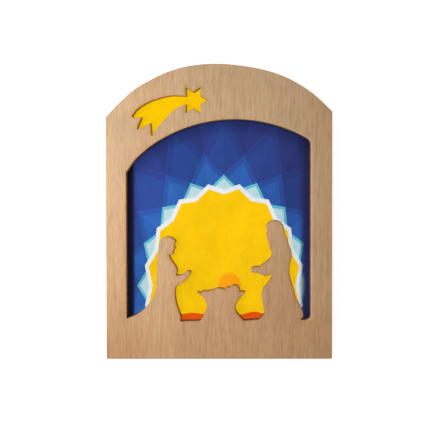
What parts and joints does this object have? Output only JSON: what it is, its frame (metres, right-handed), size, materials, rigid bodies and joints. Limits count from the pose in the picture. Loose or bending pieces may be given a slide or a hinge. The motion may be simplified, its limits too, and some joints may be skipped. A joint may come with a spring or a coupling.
{
  "type": "wooden nativity silhouette window picture",
  "caption": "Arched plywood panel with a sawn nativity silhouette and comet, backed by a translucent coloured picture sheet held in slotted wooden battens.",
  "frame": {"origin": "on the ground under the middle of the panel's bounding box, with the picture lying face up on its battens", "axes": "+Z out of the front face, +Y from the bottom edge to the top of the arch, +X to the picture's right"},
  "size_m": [0.2, 0.261, 0.0133],
  "materials": {
    "plywood": "pale fine-grained plywood, sanded, with dark scorched saw cuts",
    "batten": "plain sawn and sanded hardwood",
    "printed_sheet": "matt translucent parchment-like sheet with coloured fields in blue, white and yellow",
    "yellow_film": "matt translucent yellow film"
  },
  "bodies": {
    "root": {"front_panel": "plywood", "picture_sheet": "printed_sheet", "star_film": "yellow_film", "left_rail": "batten", "right_rail": "batten", "bottom_rail": "batten"}
  },
  "joints": []
}
